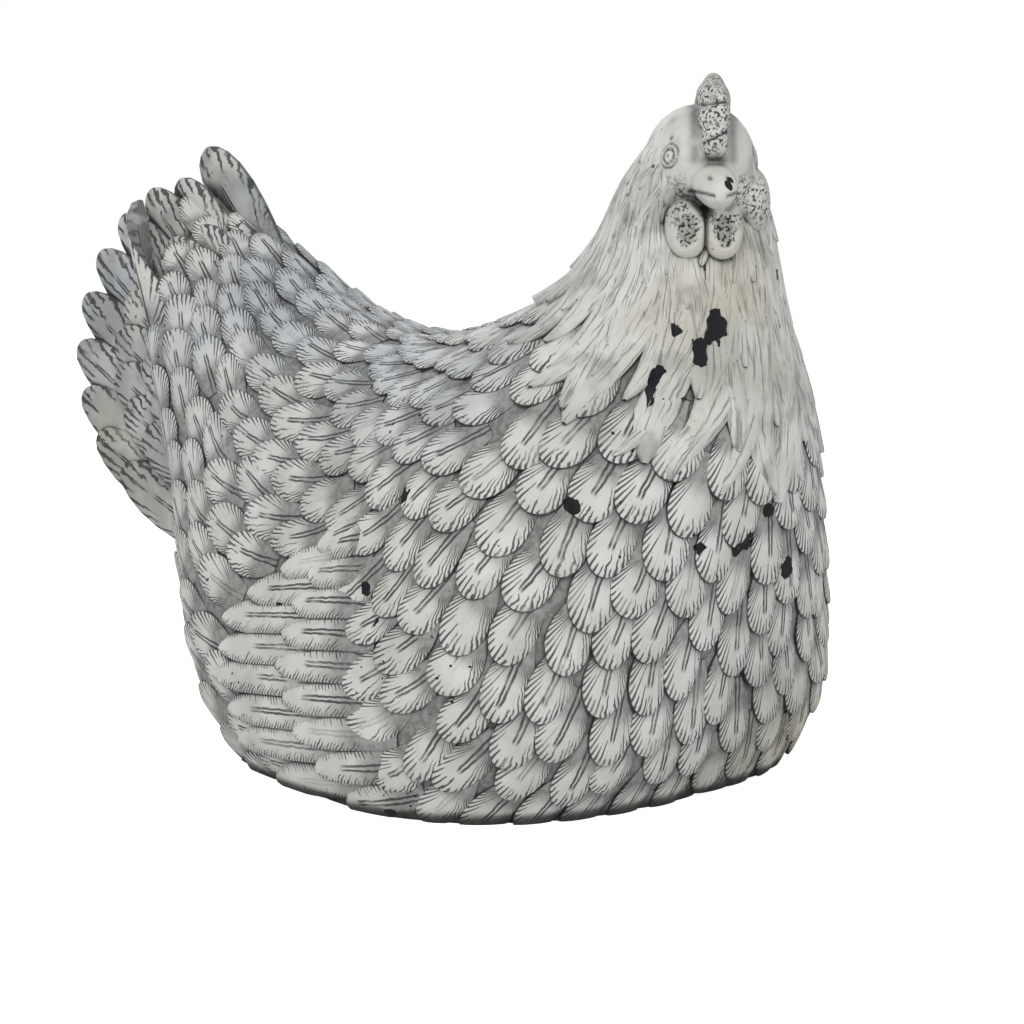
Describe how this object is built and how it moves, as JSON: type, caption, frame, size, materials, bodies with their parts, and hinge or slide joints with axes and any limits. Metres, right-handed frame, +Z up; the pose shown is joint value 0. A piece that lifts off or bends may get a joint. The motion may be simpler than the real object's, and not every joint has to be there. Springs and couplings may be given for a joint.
{
  "type": "hen figurine",
  "caption": "Sitting hen figurine cast in one hollow piece, with overlapping feathers, folded wings, raised tail fan and a flat open base.",
  "frame": {"origin": "centre of the bounding box's underside, on the surface the rim stands on", "axes": "+Z up, -Y the way the breast faces, -X the hen's right side, to which the head is turned"},
  "size_m": [0.2254, 0.3704, 0.2668],
  "materials": {
    "antiqued_white": "matte"
  },
  "bodies": {
    "root": {"hen_figurine": "antiqued_white"}
  },
  "joints": []
}
